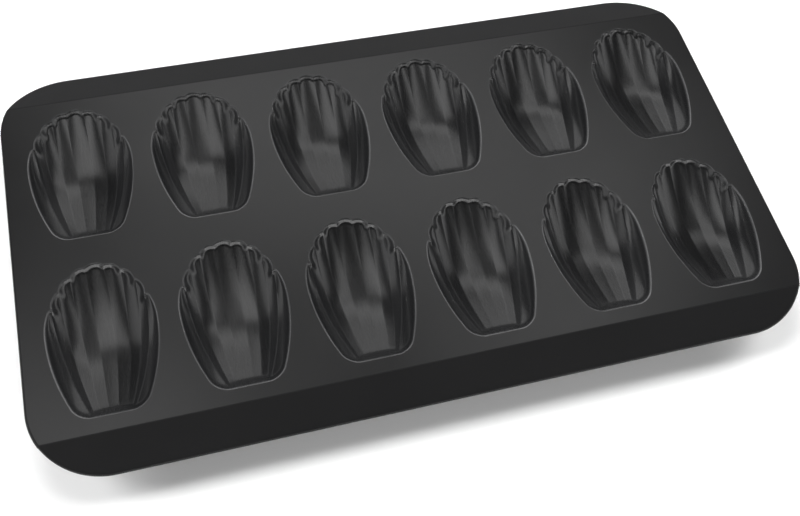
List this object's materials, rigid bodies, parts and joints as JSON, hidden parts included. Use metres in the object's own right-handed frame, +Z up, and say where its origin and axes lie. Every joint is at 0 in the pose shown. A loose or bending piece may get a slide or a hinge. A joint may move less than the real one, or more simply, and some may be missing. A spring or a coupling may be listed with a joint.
{
  "type": "madeleine pan",
  "caption": "Shallow rectangular madeleine pan: pressed steel sheet with two rows of scalloped shell cups, long edges bent down and the whole edge rolled.",
  "frame": {"origin": "under the middle of the pan, on the surface that the cups' flat bottoms stand on", "axes": "+X along the pan's length, +Y across it towards the wide scalloped ends of the cups, +Z up"},
  "size_m": [0.3764, 0.2182, 0.0142],
  "materials": {
    "deck_coating": "satin charcoal non-stick coating on pressed steel",
    "rim_coating": "satin charcoal non-stick coating, thinner over the rolled edge",
    "cup_coating": "satin charcoal non-stick coating, slightly glossier where the sheet is drawn"
  },
  "bodies": {
    "root": {"deck_plate": "deck_coating", "front_flange": "deck_coating", "rear_flange": "deck_coating", "rolled_rim": "rim_coating", "cup_front_1": "cup_coating", "cup_front_2": "cup_coating", "cup_front_3": "cup_coating", "cup_front_4": "cup_coating", "cup_front_5": "cup_coating", "cup_front_6": "cup_coating", "cup_rear_1": "cup_coating", "cup_rear_2": "cup_coating", "cup_rear_3": "cup_coating", "cup_rear_4": "cup_coating", "cup_rear_5": "cup_coating", "cup_rear_6": "cup_coating"}
  },
  "joints": []
}
